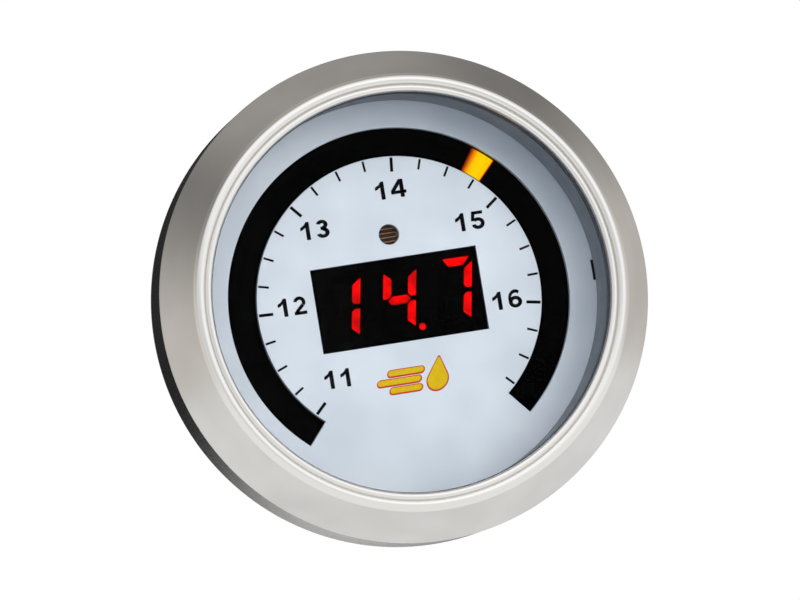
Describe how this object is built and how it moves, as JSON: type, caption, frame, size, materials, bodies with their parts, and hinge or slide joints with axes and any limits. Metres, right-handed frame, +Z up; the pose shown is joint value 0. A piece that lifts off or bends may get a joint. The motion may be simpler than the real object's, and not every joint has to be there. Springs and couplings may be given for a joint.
{
  "type": "air fuel ratio gauge",
  "caption": "Round panel gauge with a deep silver bezel, a lit arc scale and a three digit display, clamped to its panel from behind by a strap on two studs.",
  "frame": {"origin": "centre of the panel seat: on the gauge's axis, in the plane where the flange rests on the panel", "axes": "+Z up the dial, -Y towards the driver along the gauge's axis, +X to the right of the dial"},
  "size_m": [0.06, 0.0559, 0.06],
  "materials": {
    "silver": "satin silver anodised",
    "gasket_rubber": "matte",
    "clear_lens": "clear",
    "ring_silver": "satin silver",
    "dial_silver": "satin pale silver",
    "smoked": "smoked film",
    "black_moulding": "fine moulded black",
    "amber_pipe": "clear amber",
    "led_white": "white chip package",
    "display_black": "black face",
    "display_red": "clear red",
    "tinned_lead": "tinned",
    "ceramic": "glazed ceramic",
    "board_green": "solder mask",
    "chip_black": "moulded epoxy",
    "connector_black": "moulded",
    "gold_pin": "plated",
    "brass_hex": "turned",
    "zinc_screw": "zinc plated",
    "can_aluminium": "drawn can",
    "zinc_steel": "bright zinc plated",
    "spring_steel": "zinc plated",
    "brass_nut": "turned"
  },
  "bodies": {
    "gauge": {"lens_gasket": "gasket_rubber", "lens": "clear_lens", "dial_ring": "ring_silver", "faceplate": "dial_silver", "smoked_film": "smoked", "light_block": "black_moulding", "light_pipes": "amber_pipe", "arc_leds": "led_white", "digit_display": "display_black", "display_bars": "display_red", "display_pins": "tinned_lead", "photocell": "ceramic", "photocell_leads": "tinned_lead", "display_board": "board_green", "led_drivers": "chip_black", "link_receptacle": "connector_black", "link_pins": "gold_pin", "link_header": "connector_black", "board_spacers": "brass_hex", "board_screws": "zinc_screw", "main_board": "board_green", "controller_chip": "chip_black", "voltage_regulator": "chip_black", "capacitors": "can_aluminium", "sensor_socket": "connector_black", "sensor_pins": "gold_pin", "power_socket": "connector_black", "power_pins": "gold_pin", "cup": "black_moulding", "mounting_studs": "zinc_steel"},
    "bezel": {"bezel": "silver"},
    "clamp": {"clamp_strap": "zinc_steel"},
    "upper_washer": {"washer_top": "spring_steel"},
    "upper_nut": {"thumb_nut_top": "brass_nut"},
    "lower_washer": {"washer_bottom": "spring_steel"},
    "lower_nut": {"thumb_nut_bottom": "brass_nut"}
  },
  "joints": [
    {"name": "bezel_twist", "type": "hinge", "parent": "gauge", "child": "bezel", "pos_m": [0, 0, 0], "axis": [0, -1, 0], "range_deg": [0, 30]},
    {"name": "clamp_slide", "type": "slide", "parent": "gauge", "child": "clamp", "axis": [0, 1, 0], "range_m": [0, 0.0056]},
    {"name": "upper_washer_slide", "type": "slide", "parent": "gauge", "child": "upper_washer", "axis": [0, 1, 0], "range_m": [0, 0.0056]},
    {"name": "upper_nut_spin", "type": "hinge", "parent": "upper_washer", "child": "upper_nut", "pos_m": [0, 0.0289, 0.0115], "axis": [0, 1, 0], "range_deg": [0, 2880.5]},
    {"name": "lower_washer_slide", "type": "slide", "parent": "gauge", "child": "lower_washer", "axis": [0, 1, 0], "range_m": [0, 0.0056]},
    {"name": "lower_nut_spin", "type": "hinge", "parent": "lower_washer", "child": "lower_nut", "pos_m": [0, 0.0289, -0.0115], "axis": [0, 1, 0], "range_deg": [0, 2880.5]}
  ],
  "couplings": [
    {"joint": "upper_washer_slide", "follows": "clamp_slide", "ratio": 1},
    {"joint": "lower_washer_slide", "follows": "clamp_slide", "ratio": 1},
    {"joint": "upper_nut_spin", "follows": "clamp_slide", "rad_per_m": 8976},
    {"joint": "lower_nut_spin", "follows": "clamp_slide", "rad_per_m": 8976}
  ]
}
